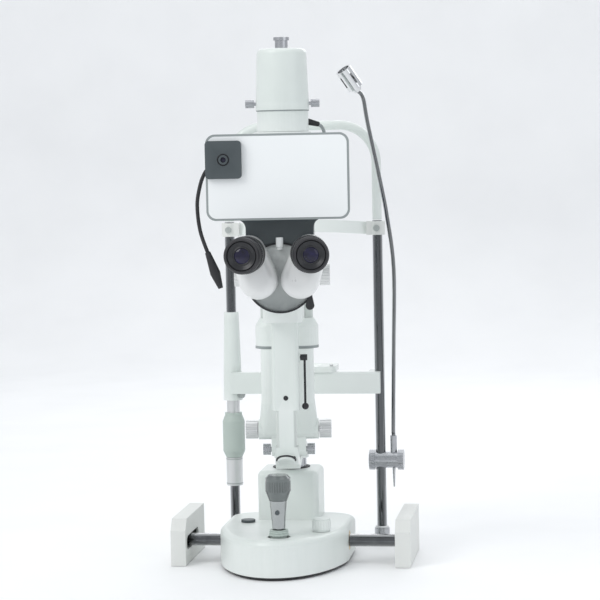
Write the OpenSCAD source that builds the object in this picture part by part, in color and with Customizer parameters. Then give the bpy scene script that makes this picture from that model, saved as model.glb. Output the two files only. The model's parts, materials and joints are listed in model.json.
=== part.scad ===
// Tower-illumination slit lamp with head rest, camera and table rails.
// X points to the operator's right, Y towards the patient, Z up.
// The origin lies on the table top, midway between the two head-rest posts.

/* [Parked pose] */
// Sideways place of the instrument base on its axle
park_x = -11; // [-15:1:15]
// Angle of both instrument arms about the swing axis
park_swing = 6; // [-10:1:10]

/* [Head rest] */
// Spacing of the two posts, centre to centre
post_gap = 208; // [204:1:214]
// Diameter of the chromed posts
post_d = 14; // [12:0.5:15]
// Distance of the posts behind the parked swing axis
swing_y = 80; // [78:1:90]
// Top of the painted arch over the patient's head
arch_top = 590; // [570:5:620]
// Bend radius of the arch's two corners
arch_bend = 52; // [40:2:70]
// Height of the forehead band's lower edge
band_z = 431; // [420:1:440]
// Height of the chin-rest bar's centre line
chin_z = 226; // [222:1:230]

/* [Rails and axle] */
// Spacing of the two rail covers, centre to centre
rail_gap = 300; // [300:1:310]
// Length of each rail cover
rail_len = 140; // [136:2:160]
// Height of each rail cover
rail_h = 62; // [60:1:70]
// Diameter of the axle that carries the base
axle_d = 17; // [14:0.5:18]
// Height of the axle above the table
axle_z = 28.5; // [28:0.5:29.5]
// Distance of the axle in front of the swing axis
axle_y = 65; // [62:1:66]

/* [Base] */
// Width of the base between its flat sides
base_w = 172; // [164:2:174]
// Length of the elliptical bow in front of the straight sides
bow_len = 165; // [150:5:170]
// Height of the base's top surface
base_h = 51; // [50:1:52]
// Height of the lift column's housing above the base
housing_h = 67; // [64:1:67]
// Width of the lift column's housing
housing_w = 83; // [76:1:86]

/* [Joystick] */
// Sideways place of the joystick on the base
joy_x = 6; // [-8:1:8]
// Distance of the joystick in front of the swing axis
joy_y = 167; // [166:1:170]
// Height of the joystick's top
joy_top = 132; // [124:1:133]

/* [Microscope] */
// Height of the optical axis
eye_z = 391; // [388:1:396]
// Radius of the microscope's round body
scope_r = 43; // [40:1:44]
// Distance between the two eyepiece centres
pupil_gap = 76; // [72:1:78]
// Height of the eyepiece centres above the optical axis
eyepiece_rise = 33; // [30:1:35]
// Inward turn of each eyepiece
converge = 6; // [0:1:7]
// Width of the camera case with its rim
camera_w = 178; // [160:2:184]
// Height of the camera case with its rim
camera_h = 107; // [100:1:112]

/* [Illumination tower] */
// Distance of the tower in front of the swing axis
tower_y = 70; // [68:1:72]
// Height of the tower's tilt axis
tilt_z = 152; // [152:0.5:153]
// Height of the slit-width shaft
slit_z = 179; // [178:1:182]
// Diameter of the lamp housing at its foot
lamp_d = 71; // [66:1:72]
// Height of the lamp housing's top
lamp_top = 684; // [676:1:692]

/* [Hidden] */
// Radial clearance of every running fit
run = 0.07;
// Gap left between fixed pieces that touch
gap = 0.05;
$fn = 48;
white = [0.87, 0.9, 0.87];
cream = [0.86, 0.87, 0.84];
steel = [0.72, 0.73, 0.75];
silver = [0.8, 0.81, 0.81];
grey = [0.5, 0.53, 0.53];
slate = [0.23, 0.26, 0.28];
black = [0.06, 0.06, 0.07];
glass = [0.75, 0.85, 0.9];
sage = [0.64, 0.7, 0.67];

post_x = post_gap / 2;
rail_x = rail_gap / 2;
rail_w = 20;
rail_front = -109;
rack_module = 1.5;
wheel_teeth = 24;
wheel_r = rack_module * wheel_teeth / 2;
wheel_w = 8;
collar_bottom = 80;
grip_bottom = 120;
grip_top = 183;
bracket_bottom = 201;
bracket_top = 325;
sleeve_r = 9;
clamp_z = 116;
column_r = 20.5;
journal_r = 12;
housing_top = base_h + housing_h;
hub_z = housing_top + 13.5;
hub_h = 10;
arm_front = 146;
arm_back = 124;
pupil_pivot = 26;
scope_back = 235;
camera_z = 464.5;
camera_front = 262;
head_bottom = 430;
head_top = 575;

// ---- shared placements and shapes -----------------------------------------

// Places children drawn level with the parked swing axis.
module at_swing() {
  translate([0, -swing_y, 0]) children();
}

// Places children drawn about the swing axis onto the parked base.
module on_base() {
  at_swing() translate([park_x, 0, 0]) children();
}

// The same for children that hang on a parked instrument arm.
module on_arms() {
  on_base() rotate([0, 0, park_swing]) children();
}

// Both mirrored copies of the children, left and right.
module pair() {
  children();
  mirror([1, 0, 0]) children();
}

// A cylinder along X, centred on the origin.
module bar_x(r, len) {
  rotate([0, 90, 0]) cylinder(r = r, h = len, center = true);
}

// A cylinder along Y from y0 to y1.
module bar_y(r, y0, y1) {
  translate([0, y0, 0]) rotate([-90, 0, 0]) cylinder(r = r, h = y1 - y0);
}

// A box with rounded vertical edges, centred in X and Y.
module rounded_box(w, d, h, r) {
  linear_extrude(h) rounded_rect(w, d, r);
}

// A centred rectangle with true round corners.
module rounded_rect(w, h, r) {
  square([w - 2 * r, h], center = true);
  square([w, h - 2 * r], center = true);
  for (sx = [-1, 1], sy = [-1, 1]) {
    translate([sx * (w / 2 - r), sy * (h / 2 - r)]) circle(r = r);
  }
}

// A rounded rectangle facing the operator, from y0 back to y1.
module upright_box(w, h, r, y0, y1) {
  translate([0, y1, 0]) rotate([90, 0, 0]) linear_extrude(y1 - y0) rounded_rect(w, h, r);
}

// A knob along Z with grip flutes around its rim.
module fluted_knob(r, h, flutes, depth) {
  difference() {
    cylinder(r = r, h = h);
    for (i = [0:flutes - 1]) {
      rotate([0, 0, i * 360 / flutes]) translate([r + depth * 0.6, 0, -1])
        cylinder(r = depth * 1.6, h = h + 2, $fn = 16);
    }
  }
}

// A tube of radius r along a list of points, as one closed solid. The path never
// runs along ref, which fixes the roll of every ring.
function unit(v) = v / norm(v);
function tangent(p, i) = unit(p[min(i + 1, len(p) - 1)] - p[max(i - 1, 0)]);
function ring_at(p, i, r, n, ref) =
  let (t = tangent(p, i), u = unit(cross(t, ref)), v = cross(t, u))
  [for (k = [0:n - 1]) p[i] + r * (cos(k * 360 / n) * u + sin(k * 360 / n) * v)];
module swept_tube(p, r, n, ref = [0, 1, 0]) {
  last = (len(p) - 1) * n;
  points = [for (i = [0:len(p) - 1]) each ring_at(p, i, r, n, ref)];
  sides = [
    for (i = [0:len(p) - 2], k = [0:n - 1])
      let (a = i * n + k, b = i * n + (k + 1) % n)
        each [[a, b + n, b], [a, a + n, b + n]]
  ];
  caps = [[for (k = [0:n - 1]) k], [for (k = [n - 1:-1:0]) last + k]];
  polyhedron(points = points, faces = concat(sides, caps), convexity = 6);
}

// Points on a smooth curve through a short list of guide points.
function blend_point(a, b, c, d, t) =
  0.5 * ((2 * b) + (c - a) * t + (2 * a - 5 * b + 4 * c - d) * t * t
    + (3 * b - a - 3 * c + d) * t * t * t);
function smooth_path(g, steps) = [
  for (i = [0:len(g) - 2], k = [0:steps - 1])
    blend_point(g[max(i - 1, 0)], g[i], g[i + 1], g[min(i + 2, len(g) - 1)], k / steps),
  g[len(g) - 1]
];

// ---- rails ----------------------------------------------------------------

// Side outline of a rail cover: upright front, sloped brow, flat top.
module rail_outline(inset) {
  front = rail_front + inset;
  back = rail_front + rail_len - inset;
  brow = 12;
  polygon([
    [front, -inset], [front, rail_h - brow - 3 - inset * 0.4],
    [front + brow - inset * 0.6, rail_h - inset], [back, rail_h - inset], [back, -inset]
  ]);
}

module rail_cover() {
  wall = 3;
  slot_r = axle_d / 2 + 1;
  difference() {
    translate([rail_x - rail_w / 2, 0, 0]) rotate([90, 0, 90]) linear_extrude(rail_w) rail_outline(0);
    translate([rail_x - rail_w / 2 + wall, 0, 0]) rotate([90, 0, 90])
      linear_extrude(rail_w - 2 * wall) rail_outline(wall);
    hull() {
      for (y = [-axle_y - 24, -axle_y + 42]) {
        translate([rail_x - rail_w / 2, y, axle_z]) bar_x(slot_r, 2 * wall + 2, $fn = 32);
      }
    }
  }
}

module rail_covers() {
  color(cream) pair() rail_cover();
}

// One straight rack whose teeth mesh with the toothed wheel above it.
module guide_rack() {
  pitch = PI * rack_module;
  pitch_z = axle_z - wheel_r;
  tip = pitch_z + rack_module * 0.9;
  root = pitch_z - rack_module * 1.3;
  half_tip = pitch * 0.1;
  half_root = pitch * 0.27;
  front = -axle_y - 8 * pitch;
  teeth = 26;
  translate([rail_x - 5, 0, 0]) rotate([90, 0, 90]) linear_extrude(10) {
    polygon(concat(
      [[front - pitch / 2, 0]],
      [[front - pitch / 2, root]],
      [for (i = [0:teeth - 1], c = [[-half_root, root], [-half_tip, tip], [half_tip, tip], [half_root, root]])
        [front + (i + 0.5) * pitch + c[0], c[1]]],
      [[front + teeth * pitch, root]],
      [[front + teeth * pitch, 0]]
    ));
  }
}

module guide_racks() {
  color(steel) pair() guide_rack();
}

module axle() {
  color(steel) translate([0, -axle_y, axle_z]) bar_x(axle_d / 2, rail_gap + 11);
}

// A toothed wheel with one tooth gap pointing straight down over a rack tooth.
module rack_wheel() {
  pitch_deg = 360 / wheel_teeth;
  root_r = wheel_r - rack_module * 1.3;
  tip_r = wheel_r + rack_module * 0.9;
  function at(r, a) = [r * sin(a), -r * cos(a)];
  translate([rail_x - wheel_w / 2, -axle_y, axle_z]) rotate([90, 0, 90]) linear_extrude(wheel_w) {
    difference() {
      polygon([
        for (i = [0:wheel_teeth - 1], c = [[-0.24, root_r], [-0.09, tip_r], [0.09, tip_r], [0.24, root_r]])
          at(c[1], (i + c[0]) * pitch_deg)
      ]);
      circle(r = axle_d / 2 + run);
    }
  }
}

module rack_wheels() {
  color(steel) pair() rack_wheel();
}

// ---- head rest ------------------------------------------------------------

module headrest_posts() {
  color(steel) pair() translate([post_x, 0, 6]) cylinder(r = post_d / 2, h = band_z + 20 - 6);
}

// A foot with a socket for the post and a screw hole each side.
module post_foot() {
  translate([post_x, 0, 0]) difference() {
    union() {
      cylinder(r = 15, h = 3.4);
      cylinder(r = 10.5, h = 20);
    }
    translate([0, 0, 6]) cylinder(r = post_d / 2 + gap, h = 20);
    for (s = [-1, 1]) {
      translate([0, s * 12.2, -1]) cylinder(r = 1.6, h = 8);
    }
  }
}

module post_feet() {
  color(steel) pair() post_foot();
}

// Upside-down U of tube with sockets that sit on the posts.
module headrest_arch() {
  tube_r = 6.5;
  straight = arch_top - tube_r - arch_bend;
  foot = band_z + 21;
  color(white) translate([0, 0, 0]) {
    pair() {
      translate([post_x, 0, foot]) cylinder(r = tube_r, h = straight - foot);
      translate([post_x - arch_bend, 0, straight]) rotate([90, 0, 0])
        rotate_extrude(angle = 90) translate([arch_bend, 0]) circle(r = tube_r);
    }
    translate([0, 0, arch_top - tube_r]) bar_x(tube_r, 2 * (post_x - arch_bend));
  }
}

// Bowed strap across the forehead, higher in its middle.
module forehead_band() {
  bow = 22;
  half = post_x - 15.8;
  r = (half * half + bow * bow) / (2 * bow);
  a = asin(half / r);
  color(white) translate([0, 0, band_z + 9]) rotate([-12, 0, 0])
    translate([0, r - bow, -8]) rotate([0, 0, 270 - a])
      rotate_extrude(angle = 2 * a, $fn = 200) translate([r - 1.5, 0]) square([3, 17]);
}

// Clamp block that grips one post and holds the end of the band.
module band_clamp() {
  translate([post_x, 0, band_z]) difference() {
    union() {
      cylinder(r = 11, h = 19);
      translate([-14.4, -9, 0]) cube([12, 18, 19]);
      translate([0, 0, 9.5]) bar_y(4, 0, 16);
    }
    translate([0, 0, -1]) cylinder(r = post_d / 2 + gap, h = 22);
  }
}

module band_clamps() {
  color(cream) pair() band_clamp();
}

// Fixed collar and telescoping sleeve of the chin-rest drive on the left post.
module lift_collar() {
  color(silver) translate([-post_x, 0, 0]) difference() {
    union() {
      translate([0, 0, collar_bottom]) cylinder(r = 11.5, h = grip_bottom - collar_bottom - 0.5);
      translate([0, 0, collar_bottom]) cylinder(r = sleeve_r, h = 172);
    }
    translate([0, 0, collar_bottom - 1]) cylinder(r = post_d / 2 + gap, h = 180);
  }
}

// Turning grip that raises and lowers the chin rest.
module chin_grip() {
  h = grip_top - grip_bottom;
  color(sage) translate([-post_x, 0, grip_bottom]) difference() {
    rotate_extrude() polygon([
      [0, 0], [11.5, 0], [15.5, 9], [15.5, h - 12], [12, h - 3], [12, h], [0, h]
    ]);
    translate([0, 0, -1]) cylinder(r = sleeve_r + run, h = h + 2);
  }
}

// Tapered bracket on the left post with the bar that reaches the right post.
module chin_bracket() {
  bar_h = 30;
  bar_y0 = -19;
  fork_x = post_x - post_d / 2 - 8;
  color(white) difference() {
    union() {
      translate([-post_x, 0, bracket_bottom])
        cylinder(r1 = 13.5, r2 = 10.2, h = bracket_top - bracket_bottom);
      translate([-post_x, bar_y0, chin_z - bar_h / 2]) cube([2 * post_x + 2, 11, bar_h]);
      translate([-post_x, bar_y0 + 2, chin_z - bar_h / 2]) cube([13, 18, bar_h]);
      translate([fork_x, bar_y0, chin_z - bar_h / 2]) cube([8 + post_d / 2, 38, bar_h]);
    }
    translate([-post_x, 0, bracket_bottom - 10]) cylinder(r = post_d / 2 + run, h = 150);
    translate([-post_x, 0, bracket_bottom - 1]) cylinder(r = sleeve_r + run, h = 75);
    translate([post_x, 0, chin_z - bar_h]) cylinder(r = post_d / 2 + run, h = 2 * bar_h);
  }
}

// Dished rest for the patient's chin on a short stem.
module chin_cup() {
  cup_z = chin_z + 15 + gap;
  cup_h = 8;
  dish_r = 60;
  color(white) translate([0, 0, cup_z]) difference() {
    union() {
      hull() {
        for (sx = [-1, 1], sy = [-1, 1]) {
          translate([sx * 34, 4 + sy * 16, 0]) cylinder(r = 10, h = cup_h, $fn = 32);
        }
      }
      translate([-20, -19, 0]) cube([40, 11, 6]);
    }
    translate([0, 6, dish_r + 3]) sphere(r = dish_r, $fn = 64);
  }
}

// Friction clamp on the right post with a thumbscrew at each end.
module fixation_clamp() {
  knob_r = 14;
  color(steel) translate([post_x, 0, clamp_z]) difference() {
    union() {
      translate([8, 0, 0]) bar_x(11.5, 32);
      for (x = [-16, 24]) {
        translate([x, 0, 0]) rotate([0, 90, 0]) fluted_knob(knob_r, 8, 16, 0.9);
      }
      translate([18, 0, 0]) cylinder(r = 4.5, h = 34);
      translate([18, 0, -38]) cylinder(r1 = 1, r2 = 2.4, h = 34);
    }
    translate([0, 0, -20]) cylinder(r = post_d / 2 + run, h = 40);
    translate([18, 0, 22]) cylinder(r = 2.8 + gap, h = 20);
  }
}

gooseneck_path = smooth_path([
  [post_x + 18, 0, clamp_z + 22], [post_x + 18, 0, clamp_z + 36], [post_x + 18, 0, clamp_z + 50],
  [post_x + 21, -9, clamp_z + 155], [post_x + 24, -20, clamp_z + 267],
  [post_x + 17, -30, clamp_z + 340], [post_x + 8, -40, clamp_z + 396],
  [post_x - 5, -54, clamp_z + 468], [post_x - 10, -60.8, clamp_z + 502.5],
  [post_x - 16, -65, clamp_z + 512]
], 6);

module gooseneck() {
  color(steel) swept_tube(gooseneck_path, 2.8, 12);
}

// Slotted lamp head on the end of the gooseneck.
module fixation_lamp() {
  tip = gooseneck_path[len(gooseneck_path) - 1];
  color(silver) translate(tip) rotate([24, 0, 0]) rotate([0, -30, 0]) difference() {
    union() {
      translate([0, 0, 0.6]) cylinder(r1 = 5, r2 = 9, h = 6.6);
      translate([0, 0, 7]) cylinder(r = 11, h = 30);
    }
    translate([0, 0, 12]) cylinder(r = 8.5, h = 30);
    for (i = [0:3]) {
      rotate([0, 0, 45 + i * 90]) translate([6, -1.5, 14]) cube([8, 3, 16]);
    }
  }
}

// ---- base -----------------------------------------------------------------

// Half outline of the base: elliptical bow, straight side, rounded rear corner.
base_straight_y = -40;
base_back = 32;
base_corner = 44;
function bow_points(w, n) = [
  for (i = [0:n]) let (a = 180 + i * 180 / n)
    [w * cos(a), base_straight_y + bow_len * sin(a)]
];
function corner_points(w, n) = [
  for (i = [0:n]) let (a = i * 90 / n)
    [w - base_corner + base_corner * cos(a), base_back - base_corner + base_corner * sin(a)]
];
module base_plan(inset) {
  w = base_w / 2 + 3;
  offset(delta = -inset) intersection() {
    polygon(concat(
      bow_points(w, 48), corner_points(w, 10),
      [for (p = corner_points(w, 10)) [0, 0] + [-p[0], p[1]]]
    ));
    square([base_w, 1000], center = true);
  }
}

module base_outline_solid(inset, z0, z1, edge) {
  hull() {
    translate([0, 0, z0]) linear_extrude(z1 - z0 - edge) base_plan(inset);
    for (a = [22.5, 45, 67.5, 90]) {
      translate([0, 0, z1 - edge + edge * sin(a) - 0.02]) linear_extrude(0.02)
        base_plan(inset + edge * (1 - cos(a)));
    }
  }
}

knob_x = 56;
knob_y = -123;
dial_x = -52;
dial_y = -58;
bush_r = 13;

module base_housing() {
  color(white) difference() {
    base_outline_solid(0, 4, base_h, 9);
    base_outline_solid(4, -10, base_h - 4, 7);
    translate([0, -axle_y, axle_z]) bar_x(bush_r, base_w + 20);
    cylinder(r = column_r + 2, h = 100);
    translate([joy_x, -joy_y, 30]) cylinder(r = 15, h = 40);
    translate([knob_x, knob_y, 30]) cylinder(r = 4, h = 40);
    translate([dial_x, dial_y, 30]) cylinder(r = 4, h = 40);
    translate([60, 20, 28]) bar_y(3.5, 0, 30);
  }
}

module base_plate() {
  color(black) difference() {
    translate([0, 0, 1.5]) linear_extrude(2.45) base_plan(2.5);
    translate([joy_x, -joy_y, -1]) cylinder(r = 18.5, h = 10);
  }
}

// Flanged sliding bush in each side wall.
module axle_bushes() {
  color(grey) translate([0, -axle_y, axle_z]) pair() difference() {
    union() {
      translate([base_w / 2 - 13, 0, 0]) bar_x(bush_r - 2 * gap, 26);
      translate([base_w / 2 - 15, 0, 0]) bar_x(bush_r + 1.2, 20);
    }
    bar_x(axle_d / 2 + run, 3 * base_w);
    translate([base_w / 2 + 10, 0, 0]) bar_x(30, 20);
    translate([base_w / 2 - 2, 0, 0]) difference() {
      bar_x(30, 5.6);
      bar_x(bush_r - 2 * gap, 10);
    }
  }
}

// Gliding foot under the joystick with the cup for its ball.
module glide_pad() {
  color(grey) translate([joy_x, -joy_y, 0]) difference() {
    union() {
      cylinder(r = 18, h = 4);
      cylinder(r = 10, h = 36);
    }
    translate([0, 0, 40]) sphere(r = 8 + run);
  }
}

housing_front = 41;
housing_depth = 70;
module column_housing() {
  r = 8;
  mid = housing_depth / 2 - housing_front;
  color(white) difference() {
    hull() {
      for (sx = [-1, 1], sy = [-1, 1]) {
        translate([sx * (housing_w / 2 - r), mid + sy * (housing_depth / 2 - r), 0]) {
          translate([0, 0, base_h + gap]) cylinder(r = r, h = 1, $fn = 32);
          translate([0, 0, housing_top - r]) sphere(r = r, $fn = 32);
        }
      }
    }
    translate([0, mid, base_h - 1]) rounded_box(housing_w - 8, housing_depth - 8, housing_h - 4, 5);
    cylinder(r = column_r + run, h = 200);
  }
}

// Supply lead, kept close behind the base's corner so it passes the posts and the rails.
base_lead = smooth_path([
  [60, 27, 28], [61.5, 33, 29.5], [67, 35, 37], [74, 34, 40], [79, 31, 34], [80, 27.5, 24],
  [79, 25, 15]
], 6);
module base_cable() {
  color(black) {
    swept_tube(base_lead, 3, 12);
    translate(base_lead[len(base_lead) - 1]) rotate([0, 172, 0]) cylinder(r = 5.5, h = 6);
  }
}

module brightness_dial() {
  color(slate) translate([dial_x, dial_y, 0]) {
    translate([0, 0, base_h + 0.4]) fluted_knob(9.5, 3.2, 24, 0.5);
    translate([0, 0, 38]) cylinder(r = 3, h = 14);
  }
}

module base_lock_knob() {
  color(white) translate([knob_x, knob_y, 0]) {
    translate([0, 0, base_h + 0.4]) cylinder(r = 11.4, h = 3);
    translate([0, 0, base_h + 3]) fluted_knob(12.4, 12, 20, 0.6);
    translate([0, 0, base_h + 15]) cylinder(r = 11.4, h = 2);
    translate([0, 0, 38]) cylinder(r = 3, h = 14);
  }
}

// ---- joystick -------------------------------------------------------------

joy_ball_z = 40;
button_z = 84;
module at_joystick() {
  on_base() translate([joy_x, -joy_y, 0]) children();
}

// Ribbed collar that follows the fore-and-aft tilt.
module joystick_boot() {
  color(sage) difference() {
    rotate_extrude() polygon([
      [0, 47], [10.5, 47], [10.5, 53.5], [13, 53.5], [13, 55.5], [11.8, 56.2],
      [12.6, 57], [12.6, 58.4], [11.2, 59], [11.8, 59.8], [11.8, 60.5], [0, 60.5]
    ]);
    translate([0, 0, 40]) cylinder(r = 8.6, h = 30);
  }
}

// Ball, shaft and tapered stem.
module joystick_stick() {
  color(silver) difference() {
    union() {
      translate([0, 0, joy_ball_z]) sphere(r = 8);
      translate([0, 0, joy_ball_z]) cylinder(r = 4.5, h = joy_top - joy_ball_z - 6);
      translate([0, 0, 62.5]) cylinder(r1 = 8.5, r2 = 9.6, h = 17);
      translate([0, 0, 79.5]) cylinder(r1 = 9.6, r2 = 11.5, h = joy_top - 33.5 - 79.5);
    }
    translate([0, 0, button_z]) bar_y(3 + run, -20, -5);
  }
}

module joystick_grip() {
  h = 33;
  rim_r = 16.5;
  color(grey) translate([0, 0, joy_top - h]) difference() {
    union() {
      cylinder(r1 = 12, r2 = rim_r, h = 12);
      translate([0, 0, 12]) fluted_knob(rim_r, 13, 30, 0.6);
      translate([0, 0, 25]) cylinder(r = rim_r, h = 4);
      translate([0, 0, 29]) cylinder(r1 = rim_r, r2 = 12.5, h = 4);
    }
    translate([0, 0, -1]) cylinder(r = 4.5 + run, h = 29.5);
  }
}

module joystick_button() {
  color(black) translate([0, 0, button_z]) bar_y(3, -12, -8);
}

// ---- lift column ----------------------------------------------------------

module lift_column() {
  shoulder = hub_z - 0.3;
  color(silver) difference() {
    union() {
      translate([0, 0, 66]) cylinder(r = column_r, h = shoulder - 66);
      translate([0, 0, shoulder - 1]) cylinder(r = journal_r, h = 2 * hub_h + 4);
      translate([0, 0, hub_z + 2 * hub_h + 1.5]) cylinder(r = journal_r + 3, h = 3);
    }
    translate([0, 0, 60]) cylinder(r = 14, h = 58);
  }
}

// Lift screw hanging from the column, with shallow thread grooves.
module lift_spindle() {
  color(steel) translate([0, 0, 17.5]) difference() {
    cylinder(r = 5, h = 100.5 - gap);
    for (z = [30:4:96]) {
      translate([0, 0, z]) rotate_extrude() translate([5, 0]) circle(r = 0.6, $fn = 8);
    }
  }
}

module lift_spring() {
  turns = 7;
  low = 43;
  high = 116;
  coil = [
    for (i = [0:turns * 16])
      [9.5 * cos(i * 22.5), 9.5 * sin(i * 22.5), low + (high - low) * i / (turns * 16)]
  ];
  color(steel) swept_tube(coil, 1.1, 8, [0, 0, 1]);
}

module lift_nut() {
  color(steel) translate([0, 0, 12]) difference() {
    union() {
      fluted_knob(18, 10, 24, 0.8);
      cylinder(r = 12, h = 28);
    }
    translate([0, 0, -1]) cylinder(r = 5 + run, h = 32);
  }
}

// ---- microscope -----------------------------------------------------------

// Hub on the column, foot under the tower and upright behind it.
module microscope_arm() {
  knee_z = hub_z + 11;
  color(white) difference() {
    union() {
      translate([0, 0, hub_z]) cylinder(r = 24, h = hub_h);
      translate([-16, -112, hub_z]) cube([32, 112, hub_h]);
      hull() {
        translate([-16, -112, hub_z]) cube([32, 4, hub_h]);
        translate([-15, -arm_front, knee_z]) cube([30, arm_front - arm_back, 22]);
      }
      translate([0, -(arm_front + arm_back) / 2, knee_z]) {
        rounded_box(26, arm_front - arm_back, 80, 4);
        translate([0, 0, 70]) rounded_box(35, arm_front - arm_back, eye_z - scope_r - knee_z - 75, 5);
      }
      translate([0, -165, eye_z - scope_r - 16]) rounded_box(50, 82, 24, 8);
      translate([15, -135, 281]) bar_x(6, 8);
    }
    translate([0, 0, hub_z - 5]) cylinder(r = journal_r + run, h = 30);
    translate([0, 0, eye_z]) bar_y(scope_r + gap, -300, 0);
    translate([10, -135, 281]) bar_x(1.6, 40);
    translate([0, 0, 229]) bar_y(3.2, -arm_front - 1, -arm_front + 2);
  }
}

// Thin rod with a ball end that trips the swing lock.
module latch_lever() {
  color(black) translate([0, -135, 281]) {
    translate([24, 0, 0]) bar_x(4, 9);
    translate([21, 0, 0]) bar_x(1.6 - run, 14);
    translate([25, 0, -64]) cylinder(r = 1.5, h = 64);
    translate([25, 0, -64]) sphere(r = 4.5);
  }
}

module microscope_body() {
  channel_r = 9;
  color(white) translate([0, 0, eye_z]) difference() {
    union() {
      bar_y(scope_r, -scope_back, -150);
      translate([0, -150, 0]) rotate([-90, 0, 0]) cylinder(r1 = scope_r, r2 = 33, h = 20);
      bar_y(31, -130, -114);
    }
    translate([0, -180, 0]) bar_x(21 + run, 70);
    translate([0, -180, 0]) bar_x(4 + run, 200);
    pair() translate([12, 0, 0]) bar_y(channel_r, -scope_back + 20, -100);
    pair() translate([pupil_pivot, 0, 0]) bar_y(channel_r, -scope_back - 1, -scope_back + 21);
    bar_y(26 + gap, -126, -100);
  }
}

module objective_lens() {
  color(glass) translate([0, 0, eye_z]) intersection() {
    bar_y(26, -126 + gap, -116);
    translate([0, -117 - 80, 0]) sphere(r = 80, $fn = 96);
  }
}

// Drum of paired lens holes on one shaft with a knob at each end.
module magnification_drum() {
  color(grey) translate([0, -180, eye_z]) {
    difference() {
      bar_x(21, 64);
      pair() translate([12, 0, 0]) bar_y(8, -30, 30);
    }
    pair() {
      translate([43, 0, 0]) bar_x(4, 24);
      translate([48, 0, 0]) rotate([0, 90, 0]) fluted_knob(13.5, 13, 20, 0.7);
    }
  }
}

// Dark block whose top flares out to the camera case.
module beam_splitter() {
  flare = 11;
  half = 42.5;
  low = eye_z + 20 - camera_z;
  color(slate) translate([0, -190, camera_z - gap]) difference() {
    rotate([90, 0, 0]) linear_extrude(scope_back - 190.5) polygon(concat(
      [[-half, low]],
      [for (a = [0:15:90]) [-half - flare * (1 - cos(a)), -flare + flare * sin(a)]],
      [for (a = [90:-15:0]) [half + flare * (1 - cos(a)), -flare + flare * sin(a)]],
      [[half, low]]
    ));
    translate([0, 0, eye_z - camera_z + gap]) bar_y(scope_r + gap, -100, 100);
    pair() translate([12, 0, -30]) cylinder(r = 8, h = 60);
  }
}

module camera_case() {
  rim = 2.7;
  mid_z = camera_z + camera_h / 2;
  w = camera_w - 2 * rim;
  h = camera_h - 2 * rim;
  color(white) translate([0, 0, mid_z]) difference() {
    union() {
      upright_box(w, h, 10, -camera_front, -188);
      translate([0, 0, -h / 2 - rim]) translate([-50, -243, 0]) cube([100, 50, rim + 1]);
    }
    upright_box(w - 6, h - 6, 7, -camera_front + 3, -191);
    translate([-w / 2, -240, 528 - mid_z]) bar_x(3.5, 14);
  }
}

module camera_rim() {
  rim = 2.7;
  mid_z = camera_z + camera_h / 2;
  color(grey) translate([0, 0, mid_z]) difference() {
    upright_box(camera_w, camera_h, 12, -camera_front + 0.5, -camera_front + 16);
    upright_box(camera_w - 2 * rim + 2 * gap, camera_h - 2 * rim + 2 * gap, 10 + gap, -300, -200);
  }
}

// Square camera unit with a round lens, on the case's upper left corner.
module camera_module() {
  color(slate) translate([-camera_w / 2 + 22.5, 0, camera_z + camera_h - 31.5]) {
    difference() {
      upright_box(45, 47, 5, -camera_front - 7, -camera_front - gap);
      bar_y(7.6, -camera_front - 8, -camera_front - 4);
    }
    difference() {
      bar_y(6, -camera_front - 8, -camera_front - 4);
      bar_y(3.4, -camera_front - 9, -camera_front - 5.5);
    }
  }
}

// The lead leaves through a bore in the case's side wall.
camera_lead = smooth_path([
  [-camera_w / 2 + 9, -240, 528], [-camera_w / 2 + 1.5, -240, 528],
  [-camera_w / 2 - 3.5, -240, 522.5], [-camera_w / 2 - 9, -240, 508], [-102, -240, 484],
  [-99, -240, 452], [-90, -240, 424]
], 6);
module camera_cable() {
  end = camera_lead[len(camera_lead) - 1];
  color(black) {
    swept_tube(camera_lead, 2.4, 12);
    translate(end) rotate([0, 161, 0]) {
      translate([0, 0, -1]) cylinder(r1 = 3.4, r2 = 6.5, h = 28);
      translate([0, 0, 27]) cylinder(r1 = 6.5, r2 = 3, h = 20);
    }
  }
}

// Swinging prism housing on one ocular tube, with the stub for its eyepiece.
module prism_housing() {
  color(silver) difference() {
    union() {
      translate([0, 0, eye_z]) hull() {
        translate([pupil_pivot, 0, 0]) {
          bar_y(24.6, -278, -scope_back - 0.5, $fn = 48);
          bar_y(19, -285, -270, $fn = 48);
        }
        translate([pupil_gap / 2, 0, eyepiece_rise]) {
          bar_y(21.5, -280, -scope_back - 6, $fn = 48);
          bar_y(18, -288, -270, $fn = 48);
        }
      }
      at_eyepiece() bar_y(17, -12, 22);
    }
    translate([pupil_pivot, 0, eye_z]) bar_y(9, -262, -200);
    at_eyepiece() bar_y(13, -40, 12);
  }
}

// Frame at the eyepiece's seat, +Y along its optical axis away from the eye.
module at_eyepiece() {
  translate([pupil_gap / 2, -300, eye_z + eyepiece_rise]) rotate([0, 0, converge]) children();
}

module prism_housing_right() {
  prism_housing();
}

module prism_housing_left() {
  mirror([1, 0, 0]) prism_housing();
}

// Focusing eyepiece barrel with a soft eyecup.
module eyepiece() {
  color(black) at_eyepiece() rotate([90, 0, 0]) rotate_extrude() polygon([
    [17 + run, -8], [20.5, -8], [22.4, -6], [22.4, 14], [21, 16], [21, 20], [22.2, 22],
    [22.2, 37], [20.4, 40], [18.6, 40], [16.5, 34], [0, 34], [0, 28], [15, 28],
    [15, 12.5], [17 + run, 12.5]
  ]);
}

module eyepiece_right() {
  eyepiece();
}

module eyepiece_left() {
  mirror([1, 0, 0]) eyepiece();
}

// ---- illumination tower ---------------------------------------------------

lamp_hub_z = hub_z + hub_h + 0.6;

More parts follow.
